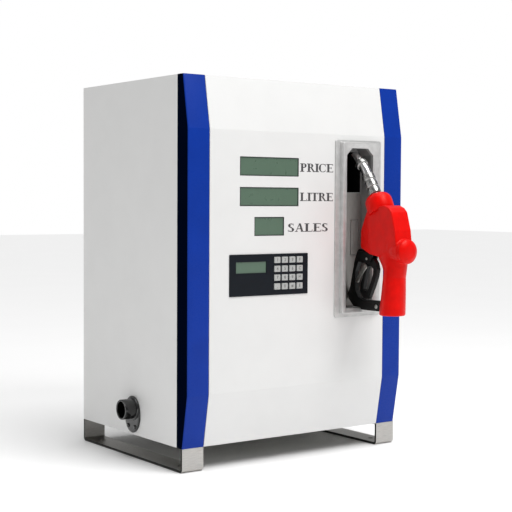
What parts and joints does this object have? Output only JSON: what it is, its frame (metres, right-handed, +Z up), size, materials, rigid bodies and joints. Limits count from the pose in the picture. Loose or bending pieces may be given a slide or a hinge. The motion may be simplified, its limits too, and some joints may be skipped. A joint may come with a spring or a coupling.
{
  "type": "fuel dispenser",
  "caption": "Small free-standing fuel pump cabinet on two skids, with price and volume displays, a keypad and a hand nozzle in a front boot.",
  "frame": {"origin": "on the floor, in the middle of the four floor anchor holes of the two skids", "axes": "+X to the right of somebody who faces the front, +Y to the back, +Z up"},
  "size_m": [0.59, 0.5655, 0.746],
  "materials": {
    "white_paint": "gloss powder coat",
    "side_paint": "satin powder coat",
    "blue_trim": "gloss powder coat",
    "steel_sheet": "galvanised",
    "skid_steel": "brushed stainless",
    "bolt_zinc": "zinc plated",
    "lock_chrome": "polished",
    "rim_plastic": "moulded",
    "lcd_glass": "liquid crystal display",
    "board": "circuit board",
    "key_rubber": "moulded silicone",
    "keypad_plastic": "moulded",
    "boot_casting": "cast, satin",
    "socket_plastic": "moulded",
    "wear_steel": "brushed",
    "port_steel": "gloss black",
    "pump_iron": "painted casting",
    "meter_alloy": "cast",
    "belt_rubber": "moulded",
    "pipe_steel": "zinc plated",
    "spout_chrome": "polished",
    "nozzle_red": "moulded jacket over an aluminium casting",
    "swivel_alloy": "machined",
    "guard_plastic": "moulded",
    "clip_steel": "pressed"
  },
  "bodies": {
    "cabinet": {"base_pan": "steel_sheet", "left_side_panel": "side_paint", "right_side_panel": "side_paint", "top_panel": "side_paint", "left_corner_trim": "blue_trim", "right_corner_trim": "blue_trim", "front_panel": "white_paint", "left_skid": "skid_steel", "right_skid": "skid_steel", "skid_bolts": "bolt_zinc", "door_pivots": "steel_sheet", "display_rims": "rim_plastic", "display_windows": "lcd_glass", "display_board": "board", "keypad_bezel": "keypad_plastic", "keypad_board": "board", "boot_bezel": "boot_casting", "boot_pocket": "boot_casting", "spout_socket": "socket_plastic", "wear_plate": "wear_steel", "port_stub": "port_steel", "port_flange": "port_steel", "pump_body": "pump_iron", "flow_meter": "meter_alloy", "motor_body": "meter_alloy", "drive_belt": "belt_rubber", "outlet_pipe": "pipe_steel", "hose_outlet": "pipe_steel", "control_box": "socket_plastic", "cable_gland": "socket_plastic"},
    "rear_door": {"rear_door": "side_paint"},
    "door_lock": {"door_lock": "lock_chrome"},
    "hook_flap": {"hook_flap": "steel_sheet"},
    "pump_drive": {"pump_pulley": "pump_iron"},
    "motor_drive": {"motor_pulley": "pump_iron"},
    "nozzle": {"spout_tube": "spout_chrome", "spout_spring": "spout_chrome", "nozzle_body": "nozzle_red", "spout_collar": "nozzle_red", "nozzle_cap": "nozzle_red", "lever_guard": "guard_plastic"},
    "hose_swivel": {"hose_swivel": "swivel_alloy"},
    "lever": {"lever": "guard_plastic"},
    "hold_clip": {"hold_clip": "clip_steel"},
    "key_01": {"key_01": "key_rubber"},
    "key_02": {"key_02": "key_rubber"},
    "key_03": {"key_03": "key_rubber"},
    "key_04": {"key_04": "key_rubber"},
    "key_05": {"key_05": "key_rubber"},
    "key_06": {"key_06": "key_rubber"},
    "key_07": {"key_07": "key_rubber"},
    "key_08": {"key_08": "key_rubber"},
    "key_09": {"key_09": "key_rubber"},
    "key_10": {"key_10": "key_rubber"},
    "key_11": {"key_11": "key_rubber"},
    "key_12": {"key_12": "key_rubber"},
    "key_13": {"key_13": "key_rubber"},
    "key_14": {"key_14": "key_rubber"},
    "key_15": {"key_15": "key_rubber"},
    "key_16": {"key_16": "key_rubber"}
  },
  "joints": [
    {"name": "door_hinge", "type": "hinge", "parent": "cabinet", "child": "rear_door", "pos_m": [0.25, 0.186, 0.4], "axis": [0, 0, -1], "range_deg": [0, 110]},
    {"name": "lock_turn", "type": "hinge", "parent": "rear_door", "child": "door_lock", "pos_m": [-0.24, 0.19, 0.4], "axis": [0, -1, 0], "range_deg": [0, 90]},
    {"name": "flap_hinge", "type": "hinge", "parent": "cabinet", "child": "hook_flap", "pos_m": [0.1615, -0.177, 0.466], "axis": [1, 0, 0], "range_deg": [0, 15], "stiffness_Nm_per_rad": 0.12, "springref_deg": -20.05},
    {"name": "pump_spin", "type": "hinge", "parent": "cabinet", "child": "pump_drive", "pos_m": [-0.117, 0.102, 0.14], "axis": [0, 1, 0], "continuous": true},
    {"name": "motor_spin", "type": "hinge", "parent": "cabinet", "child": "motor_drive", "pos_m": [0.11, 0.102, 0.14], "axis": [0, 1, 0], "continuous": true},
    {"name": "nozzle_lift", "type": "slide", "parent": "cabinet", "child": "nozzle", "axis": [0, -1, 0], "range_m": [0, 0.25]},
    {"name": "swivel_turn", "type": "hinge", "parent": "nozzle", "child": "hose_swivel", "pos_m": [0.1465, -0.319, 0.3], "axis": [0, 0, 1], "continuous": true},
    {"name": "lever_pull", "type": "hinge", "parent": "nozzle", "child": "lever", "pos_m": [0.1465, -0.25, 0.396], "axis": [-1, 0, 0], "range_deg": [0, 15], "stiffness_Nm_per_rad": 0.6, "springref_deg": -11.46},
    {"name": "clip_turn", "type": "hinge", "parent": "lever", "child": "hold_clip", "pos_m": [0.1465, -0.245, 0.381], "axis": [1, 0, 0], "range_deg": [0, 8]},
    {"name": "key_01_press", "type": "slide", "parent": "cabinet", "child": "key_01", "axis": [0, 1, 0], "range_m": [0, 0.001], "stiffness_N_per_m": 300, "springref_m": -0.0005},
    {"name": "key_02_press", "type": "slide", "parent": "cabinet", "child": "key_02", "axis": [0, 1, 0], "range_m": [0, 0.001], "stiffness_N_per_m": 300, "springref_m": -0.0005},
    {"name": "key_03_press", "type": "slide", "parent": "cabinet", "child": "key_03", "axis": [0, 1, 0], "range_m": [0, 0.001], "stiffness_N_per_m": 300, "springref_m": -0.0005},
    {"name": "key_04_press", "type": "slide", "parent": "cabinet", "child": "key_04", "axis": [0, 1, 0], "range_m": [0, 0.001], "stiffness_N_per_m": 300, "springref_m": -0.0005},
    {"name": "key_05_press", "type": "slide", "parent": "cabinet", "child": "key_05", "axis": [0, 1, 0], "range_m": [0, 0.001], "stiffness_N_per_m": 300, "springref_m": -0.0005},
    {"name": "key_06_press", "type": "slide", "parent": "cabinet", "child": "key_06", "axis": [0, 1, 0], "range_m": [0, 0.001], "stiffness_N_per_m": 300, "springref_m": -0.0005},
    {"name": "key_07_press", "type": "slide", "parent": "cabinet", "child": "key_07", "axis": [0, 1, 0], "range_m": [0, 0.001], "stiffness_N_per_m": 300, "springref_m": -0.0005},
    {"name": "key_08_press", "type": "slide", "parent": "cabinet", "child": "key_08", "axis": [0, 1, 0], "range_m": [0, 0.001], "stiffness_N_per_m": 300, "springref_m": -0.0005},
    {"name": "key_09_press", "type": "slide", "parent": "cabinet", "child": "key_09", "axis": [0, 1, 0], "range_m": [0, 0.001], "stiffness_N_per_m": 300, "springref_m": -0.0005},
    {"name": "key_10_press", "type": "slide", "parent": "cabinet", "child": "key_10", "axis": [0, 1, 0], "range_m": [0, 0.001], "stiffness_N_per_m": 300, "springref_m": -0.0005},
    {"name": "key_11_press", "type": "slide", "parent": "cabinet", "child": "key_11", "axis": [0, 1, 0], "range_m": [0, 0.001], "stiffness_N_per_m": 300, "springref_m": -0.0005},
    {"name": "key_12_press", "type": "slide", "parent": "cabinet", "child": "key_12", "axis": [0, 1, 0], "range_m": [0, 0.001], "stiffness_N_per_m": 300, "springref_m": -0.0005},
    {"name": "key_13_press", "type": "slide", "parent": "cabinet", "child": "key_13", "axis": [0, 1, 0], "range_m": [0, 0.001], "stiffness_N_per_m": 300, "springref_m": -0.0005},
    {"name": "key_14_press", "type": "slide", "parent": "cabinet", "child": "key_14", "axis": [0, 1, 0], "range_m": [0, 0.001], "stiffness_N_per_m": 300, "springref_m": -0.0005},
    {"name": "key_15_press", "type": "slide", "parent": "cabinet", "child": "key_15", "axis": [0, 1, 0], "range_m": [0, 0.001], "stiffness_N_per_m": 300, "springref_m": -0.0005},
    {"name": "key_16_press", "type": "slide", "parent": "cabinet", "child": "key_16", "axis": [0, 1, 0], "range_m": [0, 0.001], "stiffness_N_per_m": 300, "springref_m": -0.0005}
  ],
  "couplings": [
    {"joint": "motor_spin", "follows": "pump_spin", "ratio": 1.6667}
  ]
}
